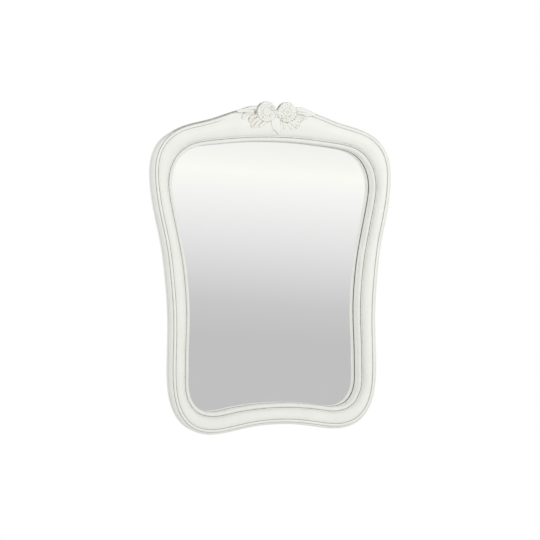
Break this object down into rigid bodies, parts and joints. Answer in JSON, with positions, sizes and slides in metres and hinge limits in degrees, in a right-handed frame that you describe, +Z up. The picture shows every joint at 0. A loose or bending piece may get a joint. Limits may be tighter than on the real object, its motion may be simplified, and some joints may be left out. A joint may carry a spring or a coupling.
{
  "type": "accent wall mirror",
  "caption": "Serpentine wall mirror in a moulded, painted wooden frame with a carved crest of roses and leaves, hung by swinging rings on its back.",
  "frame": {"origin": "on the wall plane, midway between the two hanging rings, at the height where they bear on their hooks", "axes": "+X to the right as seen from the front, +Y back into the wall, +Z up"},
  "size_m": [0.763, 0.069, 0.9907],
  "materials": {
    "painted_wood": "off-white paint, lightly rubbed and glazed",
    "clear_glass": "polished float glass",
    "silvering": "silvered, with a painted back",
    "backing_card": "corrugated board",
    "panel_board": "hardboard, smooth brown face",
    "zinc_steel": "zinc plated",
    "beech": "bare beech",
    "black_rubber": "matt",
    "felt": "pressed brown felt"
  },
  "bodies": {
    "frame": {"crest_rail": "painted_wood", "left_stile": "painted_wood", "right_stile": "painted_wood", "bottom_rail": "painted_wood", "left_rose": "painted_wood", "right_rose": "painted_wood", "rose_bud": "painted_wood", "left_wing_leaf": "painted_wood", "right_wing_leaf": "painted_wood", "left_lower_leaf": "painted_wood", "right_lower_leaf": "painted_wood", "ribbon_stem": "painted_wood", "mirror_glass": "clear_glass", "mirror_silvering": "silvering", "backing_board": "backing_card", "back_panel": "panel_board", "glass_edge_pads": "black_rubber", "retainer_plates": "zinc_steel", "retainer_screws": "zinc_steel", "left_hanger_strap": "zinc_steel", "right_hanger_strap": "zinc_steel", "hanger_screws": "zinc_steel", "wall_bumpers": "felt", "upper_joint_dowels": "beech", "lower_joint_dowels": "beech"},
    "left_ring": {"left_hanger_ring": "zinc_steel"},
    "right_ring": {"right_hanger_ring": "zinc_steel"}
  },
  "joints": [
    {"name": "left_ring_hinge", "type": "hinge", "parent": "frame", "child": "left_ring", "pos_m": [-0.34507, -0.0026, -0.017], "axis": [-1, 0, 0], "range_deg": [0, 180]},
    {"name": "right_ring_hinge", "type": "hinge", "parent": "frame", "child": "right_ring", "pos_m": [0.34507, -0.0026, -0.017], "axis": [-1, 0, 0], "range_deg": [0, 180]}
  ]
}
